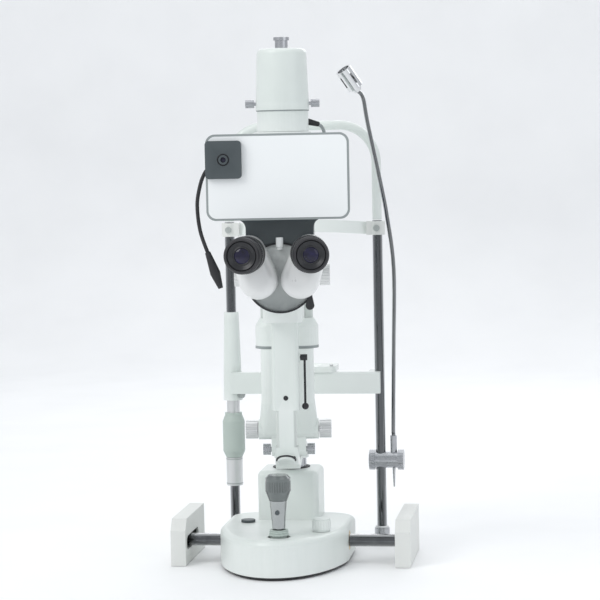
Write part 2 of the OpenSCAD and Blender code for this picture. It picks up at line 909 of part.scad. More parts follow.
// Upper hub on the column and the barrel that carries the tower's tilt pin.
module illumination_arm() {
  color(white) difference() {
    union() {
      translate([0, 0, lamp_hub_z]) cylinder(r = 22, h = hub_h);
      translate([-10, -tower_y, lamp_hub_z]) cube([20, tower_y, hub_h]);
      translate([0, -tower_y, tilt_z]) bar_x(9.2, 20);
    }
    translate([0, 0, lamp_hub_z - 5]) cylinder(r = journal_r + run, h = 30);
    translate([0, -tower_y, tilt_z]) bar_x(3.5 + run, 60);
  }
}

// Tilt pin with a clamping knob at each end.
module tilt_knobs() {
  color(grey) translate([0, -tower_y, tilt_z]) {
    bar_x(3.5, 60);
    pair() translate([24.5, 0, 0]) rotate([0, 90, 0]) fluted_knob(7.5, 10, 14, 0.6);
  }
}

module tower_body() {
  bell_h = 36;
  color(white) difference() {
    union() {
      translate([0, -tower_y, 0]) {
        pair() translate([17, 0, tilt_z]) {
          bar_x(9.2, 12);
          translate([-6, -9.2, 0]) cube([12, 18.4, 20]);
        }
        translate([0, 0, slit_z]) bar_x(13.5, 80);
        translate([0, 0, slit_z]) hull() {
          translate([0, 0, -6]) rounded_box(78, 26, 12, 8, $fn = 32);
          translate([0, 0, bell_h]) rounded_box(70, 46, 6, 12, $fn = 32);
        }
        translate([0, 0, slit_z + bell_h]) rounded_box(70, 46, 288 - slit_z - bell_h, 12);
      }
    }
    translate([0, -tower_y, tilt_z]) bar_x(3.5 + run, 60);
    translate([0, -tower_y, slit_z]) bar_x(4 + run, 100);
    translate([0, -tower_y, tilt_z]) bar_x(9.6, 21);
  }
}

// Slit-width shaft with a ribbed knob at each end.
module slit_knobs() {
  color(silver) translate([0, -tower_y, slit_z]) {
    bar_x(4, 100);
    pair() translate([41, 0, 0]) rotate([0, 90, 0]) fluted_knob(12.5, 16, 14, 1);
  }
}

// Shoulder block, twin pillars past the mirror, and the optical tube.
module tower_head() {
  shoulder_z = 288.1;
  color(white) translate([0, -tower_y, 0]) difference() {
    union() {
      hull() {
        for (sx = [-1, 1]) {
          translate([sx * 23, 0, shoulder_z]) {
            cylinder(r = 19, h = 30, $fn = 32);
            cylinder(r = 13, h = 40, $fn = 32);
          }
        }
      }
      pair() translate([29, 4, shoulder_z + 30]) cylinder(r = 6, h = head_bottom - shoulder_z - 20);
      translate([0, 0, head_bottom]) cylinder(r1 = 34, r2 = 37, h = 12);
      translate([0, 0, head_bottom + 12]) cylinder(r = 37, h = head_top - head_bottom - 12.4);
    }
    translate([0, 0, head_bottom + 14]) cylinder(r = 31, h = 200);
    translate([0, 0, head_bottom - 5]) cylinder(r = 16, h = 40);
    translate([0, 0, shoulder_z + 34]) cylinder(r = 3 + gap, h = 10);
    translate([0, -40, 535.5]) cube([52, 60, 5], center = true);
  }
}

// Narrow mirror at 45 degrees on a rod that stands in the shoulder block.
module mirror_plate() {
  translate([0, -tower_y, eye_z]) rotate([-45, 0, 0]) cube([18, 52, 3], center = true);
}

module mirror_rod() {
  translate([0, -tower_y, 322.2]) cylinder(r = 3, h = eye_z - 322.2);
}

module deflecting_mirror() {
  color(glass) {
    mirror_plate();
    mirror_rod();
  }
}

// Projection lens below and condenser lens above the slit.
module tower_lenses() {
  color(glass) translate([0, -tower_y, 0]) {
    intersection() {
      translate([0, 0, head_bottom + 14 + gap]) cylinder(r = 22, h = 10);
      translate([0, 0, head_bottom + 24 - 50]) sphere(r = 50, $fn = 64);
    }
    intersection() {
      translate([0, 0, 562]) cylinder(r = 31 - gap, h = 9);
      translate([0, 0, 571 - 60]) sphere(r = 60, $fn = 64);
    }
  }
}

module slit_jaw() {
  translate([0.4, -tower_y - 12, 550]) cube([14, 24, 1.5]);
}

module slit_jaw_right() {
  color(black) slit_jaw();
}

module slit_jaw_left() {
  color(black) mirror([1, 0, 0]) slit_jaw();
}

// Wheel of apertures and filters, turned by the lip that shows at its slot.
module filter_disc() {
  r = 25;
  color(black) translate([0, -tower_y - 17, 534.5]) difference() {
    cylinder(r = r, h = 2);
    for (a = [90:72:400]) {
      rotate([0, 0, a]) translate([16, 0, -1]) cylinder(r = 5.5, h = 4);
    }
  }
}

// Tapered lamp housing that turns the slit about the tower's axis.
module lamp_housing() {
  foot = lamp_d / 2 - 1.5;
  top = lamp_d / 2 - 2.5;
  round_r = 7;
  seam = 602.6;
  color(white) translate([0, -tower_y, 0]) difference() {
    rotate_extrude($fn = 96) polygon(concat(
      [[0, head_top], [foot, head_top], [foot, seam - 0.8], [foot - 1, seam], [lamp_d / 2, seam + 0.6]],
      [for (a = [0:15:90]) [top - round_r + round_r * cos(a), lamp_top - round_r + round_r * sin(a)]],
      [[0, lamp_top]]
    ));
    translate([0, 0, head_top - 1]) cylinder(r = 29, h = lamp_top - head_top - 3);
    translate([0, 0, lamp_top - 10]) cylinder(r = 6 + gap, h = 20);
    translate([0, 0, 612]) bar_x(2.5 + gap, 100);
  }
}

module lamp_vent() {
  color(grey) translate([0, -tower_y, lamp_top]) {
    translate([0, 0, -5]) cylinder(r = 6, h = 6);
    translate([0, 0, gap]) cylinder(r = 8.5, h = 12);
    translate([0, 0, 11]) cylinder(r = 10.5, h = 4);
  }
}

// Two knurled screws that centre the lamp.
module lamp_screws() {
  color(grey) translate([0, -tower_y, 612]) pair() {
    translate([32, 0, 0]) bar_x(2.5, 18);
    translate([37.5, 0, 0]) rotate([0, 90, 0]) fluted_knob(5.5, 11.5, 12, 0.5);
  }
}

// Lamp socket disc with its bulb.
module lamp_bulb() {
  color(steel) translate([0, -tower_y, 0]) {
    translate([0, 0, 642]) cylinder(r = 28.5, h = 4);
    translate([0, 0, 622]) cylinder(r = 9, h = 20);
    translate([0, 0, 612]) cylinder(r = 6, h = 12);
    translate([0, 0, 608]) sphere(r = 7);
  }
}

// ---- assembly -------------------------------------------------------------

at_swing() rail_covers();
at_swing() guide_racks();
headrest_posts();
post_feet();
headrest_arch();
forehead_band();
band_clamps();
lift_collar();
chin_bracket();
chin_cup();
chin_grip();
fixation_clamp();
gooseneck();
fixation_lamp();
at_swing() axle();
at_swing() rack_wheels();
on_base() base_housing();
on_base() base_plate();
on_base() axle_bushes();
on_base() glide_pad();
on_base() column_housing();
on_base() base_cable();
on_base() brightness_dial();
on_base() base_lock_knob();
at_joystick() joystick_boot();
at_joystick() joystick_stick();
at_joystick() joystick_grip();
at_joystick() joystick_button();
on_base() lift_column();
on_base() lift_spindle();
on_base() lift_spring();
on_base() lift_nut();
on_arms() microscope_arm();
on_arms() latch_lever();
on_arms() microscope_body();
on_arms() objective_lens();
on_arms() magnification_drum();
on_arms() beam_splitter();
on_arms() camera_case();
on_arms() camera_rim();
on_arms() camera_module();
on_arms() camera_cable();
on_arms() prism_housing_left();
on_arms() prism_housing_right();
on_arms() eyepiece_left();
on_arms() eyepiece_right();
on_arms() illumination_arm();
on_arms() tilt_knobs();
on_arms() tower_body();
on_arms() tower_head();
on_arms() deflecting_mirror();
on_arms() tower_lenses();
on_arms() slit_knobs();
on_arms() slit_jaw_left();
on_arms() slit_jaw_right();
on_arms() filter_disc();
on_arms() lamp_housing();
on_arms() lamp_vent();
on_arms() lamp_screws();
on_arms() lamp_bulb();
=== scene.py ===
"""Looks of the slit lamp: materials, refined pieces, light and camera around the CAD frame."""
import bmesh
import bpy
import json
import math
import random
from mathutils import Matrix, Vector


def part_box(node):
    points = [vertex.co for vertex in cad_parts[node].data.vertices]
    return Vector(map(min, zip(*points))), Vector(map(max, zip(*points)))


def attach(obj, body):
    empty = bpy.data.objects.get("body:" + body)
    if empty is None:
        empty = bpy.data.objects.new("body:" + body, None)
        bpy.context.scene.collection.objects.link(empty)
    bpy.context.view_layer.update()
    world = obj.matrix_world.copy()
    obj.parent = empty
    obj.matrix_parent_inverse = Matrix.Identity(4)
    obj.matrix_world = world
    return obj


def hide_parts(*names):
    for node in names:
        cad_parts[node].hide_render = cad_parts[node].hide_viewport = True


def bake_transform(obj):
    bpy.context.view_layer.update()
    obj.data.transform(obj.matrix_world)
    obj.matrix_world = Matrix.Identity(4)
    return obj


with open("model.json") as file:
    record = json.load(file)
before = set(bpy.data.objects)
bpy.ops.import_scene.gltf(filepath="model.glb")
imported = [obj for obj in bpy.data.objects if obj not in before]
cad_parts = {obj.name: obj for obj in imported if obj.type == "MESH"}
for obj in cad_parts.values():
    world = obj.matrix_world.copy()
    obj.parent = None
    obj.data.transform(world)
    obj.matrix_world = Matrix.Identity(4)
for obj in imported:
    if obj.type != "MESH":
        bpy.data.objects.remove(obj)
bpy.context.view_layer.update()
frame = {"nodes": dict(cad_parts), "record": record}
NODES = frame["nodes"]
random.seed(7)
MM = 0.001

# ---- places worked out from the frame --------------------------------------

JOINT = {j["name"]: j for j in frame["record"]["behaviour"]["joints"]}
pivot = Vector(JOINT["microscope_swing"]["pos_m"])
arm_x = Vector(JOINT["tower_tilt"]["axis"])
swing = math.atan2(arm_x.y, arm_x.x)
BASE = Matrix.Translation((pivot.x, pivot.y, 0))
ARMS = BASE @ Matrix.Rotation(swing, 4, "Z")


def local(matrix, point):
    """A world point in mm, in the frame of matrix."""
    return (matrix.inverted() @ Vector(point)) / MM


def joint_at(name, matrix):
    """A joint's anchor in mm, in the frame of matrix."""
    return local(matrix, JOINT[name]["pos_m"])


# ---- materials --------------------------------------------------------------


class Shader:
    """A small builder for node materials."""

    def __init__(self, name):
        self.mat = bpy.data.materials.new(name)
        self.mat.use_nodes = True
        self.nodes = self.mat.node_tree.nodes
        self.links = self.mat.node_tree.links
        self.bsdf = self.nodes["Principled BSDF"]
        coord = self.nodes.new("ShaderNodeTexCoord")
        self.place = coord.outputs["Object"]

    def add(self, kind, **values):
        node = self.nodes.new(kind)
        for key, value in values.items():
            if key in node.inputs:
                node.inputs[key].default_value = value
            else:
                setattr(node, key, value)
        return node

    def join(self, a, b):
        self.links.new(a, b)

    def noise(self, scale, detail=3.0, stretch=None, rough=0.5):
        source = self.place
        if stretch:
            mapping = self.add("ShaderNodeMapping")
            mapping.inputs["Scale"].default_value = stretch
            self.join(source, mapping.inputs["Vector"])
            source = mapping.outputs[0]
        tex = self.add("ShaderNodeTexNoise", Scale=scale, Detail=detail, Roughness=rough)
        self.join(source, tex.inputs["Vector"])
        return tex.outputs["Fac"]

    def remap(self, value, low, high, from_low=0.3, from_high=0.7):
        node = self.add("ShaderNodeMapRange")
        node.inputs["From Min"].default_value = from_low
        node.inputs["From Max"].default_value = from_high
        node.inputs["To Min"].default_value = low
        node.inputs["To Max"].default_value = high
        self.join(value, node.inputs["Value"])
        return node.outputs["Result"]

    def mix(self, fac, a, b, mode="MIX"):
        node = self.add("ShaderNodeMix", data_type="RGBA", blend_type=mode)
        for socket, value in zip((node.inputs[0], node.inputs[6], node.inputs[7]), (fac, a, b)):
            if isinstance(value, bpy.types.NodeSocket):
                self.join(value, socket)
            else:
                socket.default_value = value
        return node.outputs[2]

    def bump(self, heights):
        """Chains (height, strength, distance in m) bumps into the shader's normal."""
        normal = None
        for height, strength, distance in heights:
            node = self.add("ShaderNodeBump", Strength=strength, Distance=distance)
            self.join(height, node.inputs["Height"])
            if normal is not None:
                self.join(normal, node.inputs["Normal"])
            normal = node.outputs["Normal"]
        self.join(normal, self.bsdf.inputs["Normal"])


def rgba(color, k=1.0):
    return (color[0] * k, color[1] * k, color[2] * k, 1.0)


def finish(name, color, rough, metal=0.0, mottle=0.04, grain=(900.0, 0.08), coat=0.0,
           edge=0.12, brushed=None, waviness=0.0, smudges=0.2):
    """A painted, moulded or metal surface with colour drift, grain, smudges, worn edges and painted shade in its
    hollows.
    """
    s = Shader(name)
    drift = s.noise(14.0, 4.0)
    tone = s.mix(s.remap(drift, 0.0, 1.0), rgba(color, 1.0 - mottle), rgba(color, 1.0 + mottle * 0.5))
    geometry = s.add("ShaderNodeNewGeometry")
    worn = s.remap(geometry.outputs["Pointiness"], 0.0, edge, 0.52, 0.62)
    tone = s.mix(worn, tone, rgba([min(1.0, c * 1.35 + 0.05) for c in color]))
    # Painted shade: concave hollows are darkened towards 55 % of the colour.
    hollow_shade = s.remap(geometry.outputs["Pointiness"], min(0.5, edge * 2.5), 0.0, 0.40, 0.49)
    tone = s.mix(hollow_shade, tone, rgba(color, 0.55))
    s.join(tone, s.bsdf.inputs["Base Color"])
    smudge = s.noise(55.0, 5.0, rough=0.65)
    s.join(s.remap(smudge, rough * (1 - smudges), min(1.0, rough * (1 + smudges))), s.bsdf.inputs["Roughness"])
    s.bsdf.inputs["Metallic"].default_value = metal
    s.bsdf.inputs["Coat Weight"].default_value = coat
    s.bsdf.inputs["Coat Roughness"].default_value = 0.12
    heights = [(s.noise(grain[0], 2.0), grain[1], 0.00025)]
    if brushed:
        heights.append((s.noise(300.0, 2.0, stretch=brushed), 0.12, 0.0002))
    if waviness:
        heights.append((s.noise(45.0, 1.0), waviness, 0.0006))
    s.bump(heights)
    return s.mat


def glass_with_painted_sheen(name, core, painted_sheen):
    """Dark lens glass with a painted coloured sheen for its coating's reflection, stronger at a slant and in brighter
    patches.
    """
    s = Shader(name)
    facing = s.add("ShaderNodeLayerWeight", Blend=0.35)
    painted_glint_patches = s.noise(90.0, 2.0)
    # Painted reflection: the base colour turns to the sheen colour at a slant and in brighter noise patches.
    tint = s.mix(facing.outputs["Facing"], rgba(core), rgba(painted_sheen))
    tint = s.mix(s.remap(painted_glint_patches, 0.0, 0.25), tint, rgba(painted_sheen, 1.4))
    s.join(tint, s.bsdf.inputs["Base Color"])
    s.join(s.remap(s.noise(200.0, 3.0), 0.03, 0.07), s.bsdf.inputs["Roughness"])
    s.bsdf.inputs["Coat Weight"].default_value = 0.25
    s.bsdf.inputs["Coat Roughness"].default_value = 0.02
    s.bsdf.inputs["IOR"].default_value = 1.38
    s.bump([(s.noise(30.0, 1.0), 0.02, 0.0002)])
    return s.mat


MAT = {
    "white_paint": finish("white_paint", (0.72, 0.77, 0.74), 0.36, coat=0.25, grain=(1500.0, 0.10),
                          waviness=0.03, edge=0.25),
    "cream_plastic": finish("cream_plastic", (0.70, 0.715, 0.69), 0.45, grain=(2200.0, 0.16)),
    "camera_white": finish("camera_white", (0.90, 0.925, 0.93), 0.24, coat=0.5, grain=(1800.0, 0.04),
                           mottle=0.012, edge=0.04, smudges=0.06),
    "chrome": finish("chrome", (0.60, 0.61, 0.63), 0.10, metal=1.0, grain=(700.0, 0.02), mottle=0.06),
    "steel": finish("steel", (0.47, 0.48, 0.50), 0.28, metal=1.0, grain=(1500.0, 0.10), brushed=(1, 1, 14)),
    "satin_silver": finish("satin_silver", (0.66, 0.67, 0.67), 0.33, metal=0.75, grain=(2500.0, 0.12),
                           coat=0.2),
    "prism_shell": finish("prism_shell", (0.76, 0.77, 0.765), 0.30, metal=0.15, grain=(2000.0, 0.10),
                          coat=0.4, waviness=0.02, edge=0.10, smudges=0.1),
    "sage_plastic": finish("sage_plastic", (0.47, 0.54, 0.50), 0.5, grain=(1800.0, 0.25)),
    "slate_plastic": finish("slate_plastic", (0.052, 0.066, 0.072), 0.42, grain=(1600.0, 0.25), edge=0.3),
    "grey_plastic": finish("grey_plastic", (0.27, 0.30, 0.30), 0.38, grain=(1500.0, 0.15), edge=0.25),
    "pale_grey": finish("pale_grey", (0.42, 0.45, 0.44), 0.35, metal=0.3, grain=(1500.0, 0.12)),
    "black_rubber": finish("black_rubber", (0.018, 0.018, 0.021), 0.55, grain=(1100.0, 0.45), edge=0.35),
    "black_metal": finish("black_metal", (0.02, 0.021, 0.024), 0.32, metal=0.2, grain=(1600.0, 0.15)),
    "brass": finish("brass", (0.60, 0.45, 0.20), 0.3, metal=1.0, brushed=(14, 1, 1)),
    "optical_glass": glass_with_painted_sheen("optical_glass", (0.02, 0.03, 0.05), (0.12, 0.16, 0.40)),
    "ocular_glass": glass_with_painted_sheen("ocular_glass", (0.004, 0.004, 0.010), (0.035, 0.03, 0.13)),
    "mirror_glass": finish("mirror_glass", (0.85, 0.87, 0.88), 0.03, metal=1.0, grain=(400.0, 0.0)),
}



def chrome_with_painted_reflection(name, middle, edge):
    """Polished plating with a painted reflection: dark where it faces the viewer, bright where it turns away, with
    faint streaks.
    """
    s = Shader(name)
    facing = s.add("ShaderNodeLayerWeight", Blend=0.42)
    streak = s.noise(160.0, 2.0, stretch=(1, 1, 0.06))
    # Painted reflection: the base colour runs from a dark core to bright rims by how the surface faces the viewer.
    tone = s.mix(s.remap(facing.outputs["Facing"], 0.0, 1.0, 0.10, 0.75), rgba(middle), rgba(edge))
    tone = s.mix(s.remap(streak, 0.0, 0.35, 0.35, 0.7), tone, rgba(middle, 1.6))
    s.join(tone, s.bsdf.inputs["Base Color"])
    s.bsdf.inputs["Metallic"].default_value = 1.0
    s.join(s.remap(s.noise(70.0, 4.0), 0.07, 0.16), s.bsdf.inputs["Roughness"])
    s.bump([(s.noise(500.0, 2.0), 0.03, 0.0002)])
    return s.mat


MAT["chrome"] = chrome_with_painted_reflection("plated_chrome", (0.115, 0.12, 0.125), (0.78, 0.79, 0.80))


def face_painted_shade(name, low_z, high_z):
    """Cast face under the prism housings, grey and mottled, with painted shade that darkens its foot and leaves it
    paler towards the top.
    """
    s = Shader(name)
    split = s.add("ShaderNodeSeparateXYZ")
    s.join(s.place, split.inputs[0])
    # Painted shade: the grey darkens from the top of the face down to its foot.
    shade_rise = s.remap(split.outputs["Z"], 0.0, 1.0, low_z, high_z)
    tone = s.mix(shade_rise, (0.24, 0.265, 0.262, 1), (0.66, 0.69, 0.68, 1))
    tone = s.mix(s.remap(s.noise(130.0, 5.0), 0.0, 0.45), tone, (0.42, 0.44, 0.43, 1))
    s.join(tone, s.bsdf.inputs["Base Color"])
    s.join(s.remap(s.noise(60.0, 3.0), 0.32, 0.45), s.bsdf.inputs["Roughness"])
    s.bsdf.inputs["Metallic"].default_value = 0.15
    s.bump([(s.noise(900.0, 2.0), 0.12, 0.0002)])
    return s.mat


MAT["bright_chrome"] = finish("bright_chrome", (0.72, 0.73, 0.74), 0.12, metal=1.0, grain=(700.0, 0.03), mottle=0.1)
# Gooseneck plating with the same painted reflection.
MAT["gooseneck_metal"] = chrome_with_painted_reflection("gooseneck_metal", (0.17, 0.175, 0.18), (0.72, 0.73, 0.74))
MAT["grip_grey"] = finish("grip_grey", (0.15, 0.17, 0.168), 0.22, metal=0.35, coat=0.7, grain=(1500.0, 0.06))
MAT["stem_metal"] = finish("stem_metal", (0.40, 0.42, 0.42), 0.20, metal=0.9, grain=(900.0, 0.05), coat=0.3)

SLOT_OF = {s["node"]: s["material_slot"] for s in frame["record"]["subparts"]}


def paint_cad_node(name, material):
    obj = NODES[name]
    for slot in obj.material_slots:
        slot.material = material


def soften_edges(name, width_mm):
    """Rounds a CAD node's sharp edges as it is shown, without touching its own mesh."""
    obj = NODES[name]
    bevel = obj.modifiers.new("edge_round", "BEVEL")
    bevel.width = width_mm * MM
    bevel.segments = 2
    bevel.limit_method = "ANGLE"
    bevel.angle_limit = math.radians(38)
    bevel.harden_normals = False


EDGE_MM = {
    "rail_covers": 1.2, "column_housing": 0.6, "microscope_arm": 1.2, "tower_body": 0.8, "tower_head": 0.8,
    "chin_bracket": 1.6, "band_clamps": 1.0, "camera_case": 1.0, "camera_rim": 0.6, "beam_splitter": 1.0,
    "lamp_housing": 0.5, "illumination_arm": 1.0, "microscope_body": 1.0, "chin_cup": 1.4, "post_feet": 0.7,
    "forehead_band": 0.7, "chin_grip": 0.8, "lift_collar": 0.5, "base_housing": 0.5,
}
for cad_name in NODES:
    paint_cad_node(cad_name, MAT[SLOT_OF[cad_name]])
paint_cad_node("gooseneck", MAT["gooseneck_metal"])
paint_cad_node("fixation_lamp", MAT["bright_chrome"])
paint_cad_node("joystick_grip", MAT["grip_grey"])
paint_cad_node("joystick_stick", MAT["stem_metal"])
paint_cad_node("magnification_drum", MAT["prism_shell"])
for cad_name, width in EDGE_MM.items():
    soften_edges(cad_name, width)


# ---- mesh helpers -----------------------------------------------------------


def new_piece(name, bm, material, matrix, body, smooth_angle=40.0):
    """Turns a bmesh drawn in mm into a piece that rides on a body, or on none when no body is given."""
    mesh = bpy.data.meshes.new(name)
    bmesh.ops.remove_doubles(bm, verts=bm.verts, dist=1e-5)
    bmesh.ops.recalc_face_normals(bm, faces=bm.faces)
    bm.to_mesh(mesh)
    bm.free()
    mesh.transform(matrix @ Matrix.Scale(MM, 4))
    obj = bpy.data.objects.new(name, mesh)
    bpy.context.scene.collection.objects.link(obj)
    mesh.materials.append(MAT[material])
    mesh.shade_smooth()
    mesh.set_sharp_from_angle(angle=math.radians(smooth_angle))
    if body:
        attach(obj, body)
    return obj


def lathe(profile, segments=64, flute=None):
    """A solid of revolution about Z from (r, z) points; flute(angle, r, z) may change a radius.

    A profile that starts and ends off the axis closes on itself, so it makes a ring."""
    bm = bmesh.new()
    rings = []
    for r, z in profile:
        ring = []
        for k in range(segments):
            a = 2 * math.pi * k / segments
            radius = flute(a, r, z) if flute else r
            ring.append(bm.verts.new((radius * math.cos(a), radius * math.sin(a), z)))
        rings.append(ring)
    for low, high in zip(rings, rings[1:]):
        for k in range(segments):
            n = (k + 1) % segments
            bm.faces.new((low[k], low[n], high[n], high[k]))
    if profile[0][0] > 1.0:
        for k in range(segments):
            n = (k + 1) % segments
            bm.faces.new((rings[-1][k], rings[-1][n], rings[0][n], rings[0][k]))
    else:
        bm.faces.new(rings[0][::-1])
        bm.faces.new(rings[-1])
    return bm


def rounded(points, radius=0.6, steps=3):
    """Rounds the corners of an (r, z) profile."""
    out = [points[0]]
    for a, b, c in zip(points, points[1:], points[2:]):
        va, vc = Vector(a) - Vector(b), Vector(c) - Vector(b)
        reach = min(radius, va.length * 0.45, vc.length * 0.45)
        if va.length < 1e-6 or vc.length < 1e-6:
            out.append(b)
            continue
        p, q = Vector(b) + va.normalized() * reach, Vector(b) + vc.normalized() * reach
        for i in range(steps + 1):
            t = i / steps
            out.append(tuple((1 - t) ** 2 * p + 2 * t * (1 - t) * Vector(b) + t * t * q))
    out.append(points[-1])
    return out


def turn(axis_from, axis_to):
    """Matrix that stands a Z-axis solid on axis_from, pointing to axis_to (both mm)."""
    a, b = Vector(axis_from), Vector(axis_to)
    rotation = (b - a).to_track_quat("Z", "Y").to_matrix().to_4x4()
    return Matrix.Translation(a) @ rotation


def placed(frame_matrix, axis_from, axis_to):
    """World matrix for a mm-built solid whose Z axis runs between two local points in mm."""
    scaled = Matrix.Scale(MM, 4) @ turn(axis_from, axis_to) @ Matrix.Scale(1 / MM, 4)
    return frame_matrix @ scaled


def smooth_curve(guide, steps):
    """Catmull-Rom points through a short guide."""
    pts = [Vector(p) for p in guide]
    out = []
    for i in range(len(pts) - 1):
        a, b, c, d = pts[max(i - 1, 0)], pts[i], pts[i + 1], pts[min(i + 2, len(pts) - 1)]
        for k in range(steps):
            t = k / steps
            out.append(0.5 * (2 * b + (c - a) * t + (2 * a - 5 * b + 4 * c - d) * t * t
                              + (3 * b - a - 3 * c + d) * t ** 3))
    out.append(pts[-1])
    return out


def tube(path, radius, sides=16):
    """A closed tube along mm points; radius is a number or a function of the point's index."""
    bm = bmesh.new()
    rings = []
    normal = None
    for i, p in enumerate(path):
        t = (path[min(i + 1, len(path) - 1)] - path[max(i - 1, 0)]).normalized()
        if normal is None:
            normal = t.orthogonal().normalized()
        normal = (normal - t * normal.dot(t)).normalized()
        other = t.cross(normal)
        r = radius(i) if callable(radius) else radius
        rings.append([
            bm.verts.new(p + r * (math.cos(2 * math.pi * k / sides) * normal
                                  + math.sin(2 * math.pi * k / sides) * other))
            for k in range(sides)
        ])
    for low, high in zip(rings, rings[1:]):
        for k in range(sides):
            n = (k + 1) % sides
            bm.faces.new((low[k], low[n], high[n], high[k]))
    bm.faces.new(rings[0][::-1])
    bm.faces.new(rings[-1])
    return bm


# ---- places of the head rest, the camera and the optics ----------------------

post_lo, post_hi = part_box("headrest_posts")
HEADREST = Matrix.Translation((0, (post_lo.y + post_hi.y) / 2, 0))
eye_z = JOINT["pupil_left"]["pos_m"][2] / MM
pupil_pivot = joint_at("pupil_right", ARMS).x
ocular = joint_at("dioptre_right", ARMS)
scope_front = joint_at("pupil_right", ARMS).y
tower_y = joint_at("tower_tilt", ARMS).y
cam_lo, cam_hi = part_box("camera_module")
cam_mid = local(ARMS, (cam_lo + cam_hi) / 2)


# ---- microscope --------------------------------------------------------------


def prism_shell(side):
    """Bulbous housing whose outline runs softly from the ocular tube up to the eyepiece."""
    stations = [(-289.5, 15.0), (-289.0, 11.0), (-287.6, 7.4), (-285.0, 4.0), (-281.5, 1.7), (-277.0, 0.5),
                (-271.0, 0.0), (-258.0, 0.0), (-246.0, 0.2), (-241.5, 1.2), (-239.2, 3.0)]
    low = Vector((pupil_pivot, eye_z))
    high = Vector((ocular.x, ocular.z))
    count = 72
    bm = bmesh.new()
    rings = []
    for y, inset in stations + [(-235.6, 3.0)]:
        ring = []
        r_low, r_high = 24.4 - inset, 21.8 - inset * 0.9
        for k in range(count):
            a = 2 * math.pi * k / count
            u = Vector((math.cos(a), math.sin(a)))
            lead = (high - low).dot(u) + r_high - r_low
            w = 1 / (1 + math.exp(-lead / 2.2))
            p = (low + u * r_low) * (1 - w) + (high + u * r_high) * w
            ring.append(bm.verts.new((side * p.x, y, p.y)))
        rings.append(ring)
    for near, far in zip(rings, rings[1:]):
        for k in range(count):
            n = (k + 1) % count
            bm.faces.new((near[k], near[n], far[n], far[k]))
    bm.faces.new(rings[0][::-1])
    bm.faces.new(rings[-1])
    return bm


for side, tag in ((-1, "left"), (1, "right")):
    shell = new_piece(f"prism_shell_{tag}", prism_shell(side), "prism_shell", ARMS, f"prism_{tag}", 50)
    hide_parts(f"prism_housing_{tag}")
    seat = Vector((side * ocular.x, ocular.y, ocular.z))
    turn_in = math.radians(6) * side
    outward = Vector((math.sin(turn_in), -math.cos(turn_in), 0))
    stub = lathe(rounded([(0.1, -26), (16.9, -26), (16.9, -1.5), (16.2, -0.6), (16.2, 9), (0.1, 9)], 0.4))
    stub_piece = new_piece(f"eyepiece_seat_{tag}", stub, "pale_grey",
                           placed(ARMS, seat, seat + outward), f"prism_{tag}")

    def knurl(a, r, z):
        return r + (0.35 * math.cos(60 * a) if 9 <= z <= 19 and r > 20 else 0.0)

    ring = lathe([(21.5, 8.6), (22.9, 9.2), (22.9, 18.8), (21.5, 19.4)], 240, knurl)
    new_piece(f"dioptre_ring_{tag}", ring, "black_metal",
                      placed(ARMS, seat, seat + outward), f"ocular_{tag}")
    band = lathe(rounded([(20.9, 15.8), (21.25, 16.0), (21.25, 19.9), (20.9, 20.2)], 0.2))
    new_piece(f"eyepiece_band_{tag}", band, "black_metal",
                      placed(ARMS, seat, seat + outward), f"ocular_{tag}")
    well = lathe(rounded([(9.6, 34.02), (16.2, 34.02), (17.6, 38.0), (16.9, 38.6), (12.0, 35.2), (10.4, 36.0),
                          (9.6, 35.6)], 0.4), 72)
    new_piece(f"ocular_well_{tag}", well, "black_metal",
                      placed(ARMS, seat, seat + outward), f"ocular_{tag}")
    lens = lathe([(0.1, 34.02), (10.2, 34.02), (9.9, 34.6), (8.6, 35.4), (6.4, 36.1), (3.4, 36.6), (0.1, 36.8)])
    new_piece(f"ocular_lens_{tag}", lens, "ocular_glass",
                      placed(ARMS, seat, seat + outward), f"ocular_{tag}")

# Round face of the body under the prism housings, with the dark rim that shows as an arc.
face = lathe(rounded([(0.1, 0.0), (42.2, 0.0), (42.2, 0.35), (0.1, 0.35)], 0.1), 96)
front = (0, scope_front - 0.05, eye_z)
# The face's grey runs darker towards its foot as painted shade.
MAT["face_painted_shade"] = face_painted_shade("face_painted_shade", (eye_z - 40) * MM, (eye_z + 12) * MM)
new_piece("drum_face", face, "face_painted_shade", placed(ARMS, front, (0, scope_front - 1, eye_z)),
                  "microscope")
rim = lathe(rounded([(42.3, -3.2), (43.6, -3.2), (44.6, -2.2), (44.6, 2.6), (43.8, 3.4), (42.3, 3.4)], 0.4), 96)
new_piece("drum_rim", rim, "black_metal", placed(ARMS, front, (0, scope_front - 1, eye_z)),
                  "microscope")

# Upright pin between the eyepieces, where the breath shield hangs.
pin = lathe(rounded([(0.1, 426.5), (3.6, 426.5), (3.6, 429.5), (4.7, 430.0), (4.7, 442.0), (0.1, 442.5)], 0.6), 40)
new_piece("shield_pin", pin, "camera_white",
                  ARMS @ Matrix.Translation((0, (scope_front - 5.2) * MM, 0)), "microscope")
pin_arm = lathe(rounded([(0.1, 0), (2.4, 0), (2.4, 6), (0.1, 6)], 0.3), 24)
new_piece("shield_pin_stem", pin_arm, "satin_silver",
                  placed(ARMS, (0, scope_front + 1, 431), (0, scope_front - 5, 431)), "microscope")


def drop_outline(r_low, r_high, length, count=20):
    """Outline of a drop: a round foot and a narrower round head above it."""
    pts = []
    for k in range(count + 1):
        a = math.pi + math.pi * k / count
        pts.append((r_low * math.cos(a), r_low * math.sin(a)))
    for k in range(count + 1):
        a = math.pi * k / count
        pts.append((r_high * math.cos(a), length + r_high * math.sin(a)))
    return pts


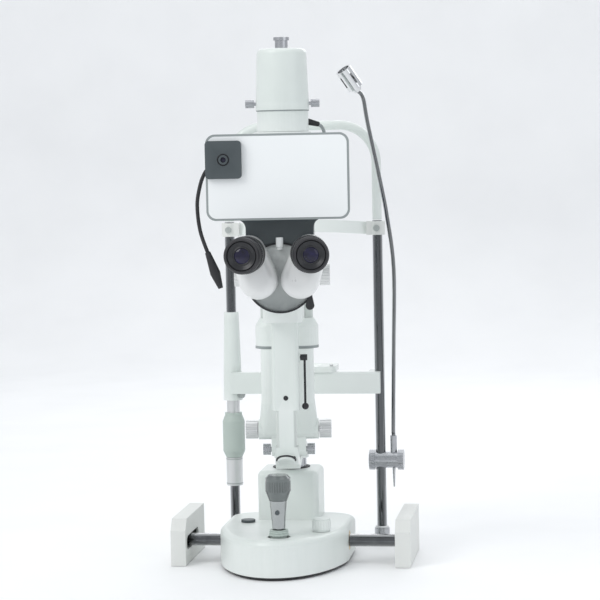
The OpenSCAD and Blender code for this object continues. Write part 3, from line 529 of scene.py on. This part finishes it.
def slab(outline, depth, bevel=0.8):
    """A plate of an (x, z) outline, depth thick along -Y, with softened front edges."""
    bm = bmesh.new()
    rings = []
    cx = sum(p[0] for p in outline) / len(outline)
    cz = sum(p[1] for p in outline) / len(outline)
    for y, pull in ((0, 0.0), (-(depth - bevel), 0.0), (-(depth - bevel * 0.3), bevel * 0.35), (-depth, bevel)):
        ring = []
        for x, z in outline:
            v = Vector((x - cx, z - cz))
            v *= max(0.0, 1 - pull / max(v.length, 1e-6))
            ring.append(bm.verts.new((cx + v.x, y, cz + v.y)))
        rings.append(ring)
    n = len(outline)
    for a, b in zip(rings, rings[1:]):
        for k in range(n):
            bm.faces.new((a[k], a[(k + 1) % n], b[(k + 1) % n], b[k]))
    bm.faces.new(rings[0][::-1])
    bm.faces.new(rings[-1])
    return bm


lever = slab(drop_outline(5.6, 2.4, 15), 5.0, 1.2)
new_piece("filter_lever", lever, "black_metal",
                  ARMS @ Matrix.Translation(Vector((36.5, scope_front + 0.5, eye_z - 35)) * MM),
                  "microscope")


def screw_head(r, h, socket):
    """A cap screw with a hex socket."""
    return lathe(rounded([(0.1, -1.0), (r, -1.0), (r, h - 0.4), (r - 0.5, h), (socket, h), (0.1, h - 0.3)], 0.15), 32)


def socket_hole(r, depth):
    """The dark socket drawn as a sunk disc."""
    return lathe([(0.1, -depth), (r, -depth), (r * 1.02, 0.06), (0.1, 0.06)], 6)


def add_screw(name, point, outward, r, body, material="black_metal", matrix=ARMS, h=1.4):
    """A cap screw that stands on a surface, with its socket."""
    a = Vector(point)
    head = screw_head(r, h, r * 0.45)
    new_piece(name, head, material, placed(matrix, a, a + Vector(outward)), body)
    hole_at = a + Vector(outward) * h
    new_piece(name + "_socket", socket_hole(r * 0.5, 0.4), "black_metal",
                      placed(matrix, hole_at, hole_at + Vector(outward)), body)


# Screws of the camera case's back cover, then those of the arm and its foot.
case_lo, case_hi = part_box("camera_case")
case_mid_z = (case_lo.z + case_hi.z) / 2 / MM
CASE_BACK = -188.2
for k, (x, z) in enumerate(((-74, 40), (74, 40), (-74, -38), (74, -38))):
    add_screw(f"case_screw_{k}", (x, CASE_BACK, case_mid_z + z), (0, 1, 0), 2.4, "microscope")
ARM_FRONT = -146
add_screw("arm_screw", (0, ARM_FRONT + 0.6, 229), (0, -1, 0), 3.1, "microscope")
add_screw("foot_screw", (9.5, ARM_FRONT - 0.2, 151), (0, -1, 0), 2.0, "microscope")
boss = lathe(rounded([(0.1, 0), (12.2, 0), (12.2, 0.9), (11.2, 0.9), (11.2, 4.6), (9.8, 5.8), (0.1, 6.2)], 0.7), 64)
new_piece("foot_boss", boss, "white_paint",
                  placed(ARMS, (-1, ARM_FRONT, 150), (-1, ARM_FRONT - 1, 148.5)), "microscope")
boss_ring = lathe(rounded([(11.4, 0.2), (13.2, 0.2), (13.2, 2.2), (11.4, 2.2)], 0.4), 64)
new_piece("foot_boss_ring", boss_ring, "black_metal",
                  placed(ARMS, (-1, ARM_FRONT, 149.2), (-1, ARM_FRONT - 1, 147.7)), "microscope")

# Camera lens.
glass = lathe([(0.1, 0.0), (5.2, 0.0), (5.2, 0.5), (4.6, 0.9), (3.0, 1.4), (1.4, 1.7), (0.1, 1.75)], 48)
new_piece("camera_glass", glass, "ocular_glass",
                  placed(ARMS, (cam_mid.x, cam_mid.y - 0.6, cam_mid.z), (cam_mid.x, cam_mid.y - 2, cam_mid.z)),
                  "microscope")
hood = lathe(rounded([(6.1, 0), (7.5, 0), (7.5, 3.7), (6.9, 4.1), (6.1, 3.4)], 0.3), 64)
new_piece("camera_hood", hood, "black_metal",
                  placed(ARMS, (cam_mid.x, cam_mid.y + 0.2, cam_mid.z), (cam_mid.x, cam_mid.y - 2, cam_mid.z)),
                  "microscope")


# ---- illumination tower --------------------------------------------------------

# Dark parting line under the shoulder block's two ears.
ear_r, ear_x = 19, 23
seam = []
for k in range(48):
    a = 2 * math.pi * k / 48
    seam.append(((ear_r + 0.25) * math.cos(a) + math.copysign(ear_x, math.cos(a)), (ear_r + 0.25) * math.sin(a)))
bm = bmesh.new()
rings = [[bm.verts.new((x * s, y * s, z)) for x, y in seam]
         for z, s in ((288.15, 0.9), (288.15, 1.0), (291.6, 1.0), (291.6, 0.9))]
for low_ring, high_ring in zip(rings, rings[1:]):
    for k in range(48):
        bm.faces.new((low_ring[k], low_ring[(k + 1) % 48], high_ring[(k + 1) % 48], high_ring[k]))
bm.faces.new(rings[0][::-1])
bm.faces.new(rings[-1])
new_piece("shoulder_seam", bm, "grey_plastic",
                  ARMS @ Matrix.Translation((0, tower_y * MM, 0)), "tower")

# Lamp housing seam ring.
seam_ring = lathe(rounded([(34.0, 601.6), (35.05, 601.9), (35.05, 603.0), (34.0, 603.3)], 0.2), 96)
new_piece("lamp_seam", seam_ring, "grey_plastic",
                  ARMS @ Matrix.Translation((0, tower_y * MM, 0)), "lamp_head")

# Lamp lead with its strain relief, on the housing's right side.
relief_root = Vector((31, tower_y + 12, 588))
relief = []
for i in range(9):
    z = i * 2.0
    relief += [(4.6 - 0.16 * i, z), (4.6 - 0.16 * i, z + 1.2), (3.5 - 0.12 * i, z + 1.3), (3.5 - 0.12 * i, z + 1.9)]
new_piece("lamp_strain_relief", lathe([(0.1, -3)] + relief + [(0.1, 18.2)], 32), "black_rubber",
                  placed(ARMS, relief_root, relief_root + Vector((1, 0.35, -0.25))), "lamp_head")
lead_from = relief_root + Vector((1, 0.35, -0.25)).normalized() * 15
lead = smooth_curve([lead_from, lead_from + Vector((6, 6, -4)), lead_from + Vector((9, 16, -14)),
                     lead_from + Vector((6, 22, -34)), lead_from + Vector((4, 20, -58))], 8)
new_piece("lamp_lead", tube(lead, 2.3), "grey_plastic", ARMS, "lamp_head")
plug = lathe(rounded([(0.1, 0), (3.2, 0), (4.8, 3), (4.8, 17), (4.2, 18), (4.2, 26), (0.1, 26)], 0.8), 32)
new_piece("lamp_plug", plug, "black_rubber", placed(ARMS, lead[-1], lead[-1] + Vector((0, -1, -12))),
                  "lamp_head")

# ---- base and joystick ----------------------------------------------------------

# Thin seal on top of the column housing; the arm comes down to just above it.
gland = lathe(rounded([(20.7, 0), (25.6, 0), (25.6, 0.7), (24.6, 1.1), (20.7, 1.2)], 0.25), 72)
house_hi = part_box("column_housing")[1].z / MM
new_piece("column_gland", gland, "black_rubber",
                  BASE @ Matrix.Translation((0, 0, (house_hi + 0.02) * MM)), "base")

# The same coil as the CAD spring, with its foot on the base and its head on the column.
spring_lo, spring_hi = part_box("lift_spring")
wire = 1.1
turns = 7
coil_r = (spring_hi.x - spring_lo.x) / MM / 2 - wire
coil_low, coil_high = spring_lo.z / MM + wire, spring_hi.z / MM - wire
coil = []
for i in range(turns * 24 + 1):
    angle = i * 2 * math.pi / 24
    coil.append(Vector((coil_r * math.cos(angle), coil_r * math.sin(angle),
                        coil_low + (coil_high - coil_low) * i / (turns * 24))))
spring = new_piece("spring_coil", tube(coil, wire, 12), "steel", BASE, None)
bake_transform(spring)
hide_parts("lift_spring")

# ---- head rest --------------------------------------------------------------------

chin_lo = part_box("chin_bracket")[0]
bar_front = local(HEADREST, chin_lo).y
cup_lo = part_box("chin_cup")[0]
bar_top = cup_lo.z / MM
post_x = (post_hi.x - MM * 7) / MM


def knurled(r, h, count=24, depth=0.35):
    """A small knurled thumbscrew head along Z."""
    profile = rounded([(0.1, 0), (r, 0), (r, h), (r * 0.8, h + 0.8), (0.1, h + 0.8)], 0.5)
    return lathe(profile, count * 6,
                 lambda a, rr, z: rr + (depth * math.cos(count * a) if rr > r * 0.9 and 0.5 < z < h - 0.3 else 0))


for k, x in enumerate((-38, 38)):
    paper_pin = lathe(rounded([(0.1, -1), (1.6, -1), (1.6, 8), (2.6, 8.6), (2.6, 10.6), (0.1, 11)], 0.4), 24)
    new_piece(f"paper_pin_{k}", paper_pin, "satin_silver",
                      HEADREST @ Matrix.Translation(Vector((x, bar_front + 5.5, bar_top)) * MM),
                      "chin_rest")
lock = Vector((-post_x + 9.5, -6, 209))
new_piece("bracket_lock_screw", knurled(4.6, 8, 16, 0.3), "pale_grey",
                  placed(HEADREST, lock, lock + Vector((0.8, -0.6, 0))), "chin_rest")
for side in (-1, 1):
    clamp = Vector((side * post_x, -8.5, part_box("band_clamps")[0].z / MM + 9.5))
    tag = "left" if side < 0 else "right"
    new_piece(f"band_clamp_screw_{tag}", knurled(4.4, 4.5, 16, 0.3), "pale_grey",
                      placed(HEADREST, clamp, clamp + Vector((0, -1, 0))), "root")
    foot = lathe(rounded([(7.15, 0), (9.4, 0), (9.4, 2.2), (8.2, 3.2), (7.15, 3.2)], 0.4), 48)
    new_piece(f"post_collar_{tag}", foot, "satin_silver",
                      HEADREST @ Matrix.Translation(Vector((side * post_x, 0, 20.02)) * MM), "root")
for k, z in enumerate((82.0, 116.5)):
    groove = lathe(rounded([(11.3, z), (11.75, z + 0.3), (11.75, z + 1.7), (11.3, z + 2.0)], 0.2), 48)
    new_piece(f"sleeve_band_{k}", groove, "pale_grey",
                      HEADREST @ Matrix.Translation(Vector((-post_x, 0, 0)) * MM), "root")

# ---- stage, light and camera -------------------------------------------------------


def stage_floor():
    mesh = bpy.data.meshes.new("stage_floor")
    bm = bmesh.new()
    front_y, back_y, bend = -4.0, 2.2, 0.9
    rows = [(front_y, 0.0), (back_y, 0.0)]
    for i in range(1, 17):
        a = math.pi / 2 * i / 16
        rows.append((back_y + bend * math.sin(a), bend * (1 - math.cos(a))))
    rows.append((back_y + bend, 4.5))
    rings = [[bm.verts.new((x, y, z - 0.0005)) for x in (-5.0, 5.0)] for y, z in rows]
    for a, b in zip(rings, rings[1:]):
        bm.faces.new((a[0], a[1], b[1], b[0]))
    bm.to_mesh(mesh)
    bm.free()
    mesh.shade_smooth()
    obj = bpy.data.objects.new("stage_floor", mesh)
    bpy.context.scene.collection.objects.link(obj)
    s = Shader("stage_paper")
    fine = s.noise(6.0, 3.0)
    tone = s.mix(s.remap(fine, 0.0, 1.0), (0.92, 0.925, 0.93, 1), (0.95, 0.955, 0.96, 1))
    s.join(tone, s.bsdf.inputs["Base Color"])
    s.bsdf.inputs["Roughness"].default_value = 0.6
    mesh.materials.append(s.mat)


def area_light(name, position, target, size, power, color=(1, 1, 1)):
    data = bpy.data.lights.new(name, "AREA")
    data.shape = "RECTANGLE"
    data.size, data.size_y = size
    data.energy = power
    data.color = color
    obj = bpy.data.objects.new(name, data)
    obj.location = position
    obj.rotation_euler = (Vector(target) - Vector(position)).to_track_quat("-Z", "Y").to_euler()
    bpy.context.scene.collection.objects.link(obj)


stage_floor()
world = bpy.data.worlds.new("studio")
world.use_nodes = True
background = world.node_tree.nodes["Background"]
background.inputs["Color"].default_value = (0.93, 0.96, 1.0, 1)
background.inputs["Strength"].default_value = 0.70
bpy.context.scene.world = world
middle = Vector((0, pivot.y, 0.34))
area_light("key", middle + Vector((-1.7, -2.0, 1.9)), middle, (1.6, 1.6), 31, (1.0, 0.99, 0.97))
area_light("fill", middle + Vector((2.3, -1.6, 0.9)), middle, (1.8, 1.6), 7, (0.96, 0.98, 1.0))
area_light("top", middle + Vector((0.1, 0.2, 2.6)), middle, (2.4, 2.4), 15)
area_light("back", middle + Vector((0.4, 2.2, 1.3)), middle, (2.6, 1.2), 14)

data = bpy.data.cameras.new("camera")
camera = bpy.data.objects.new("camera", data)
bpy.context.scene.collection.objects.link(camera)
bpy.context.scene.camera = camera
data.lens = 130
data.sensor_width = 36
target = Vector((0.012, pivot.y - 0.05, 0.350))
azimuth, pitch, distance = math.radians(8), math.radians(4), 2.9
camera.location = target + distance * Vector((
    math.sin(azimuth) * math.cos(pitch), -math.cos(azimuth) * math.cos(pitch), math.sin(pitch)))
roll = Matrix.Rotation(math.radians(-1.1), 3, "Z")
aim = (target - camera.location).to_track_quat("-Z", "Y").to_matrix()
camera.rotation_euler = (aim @ roll).to_euler()
bpy.context.scene.view_settings.view_transform = "Standard"
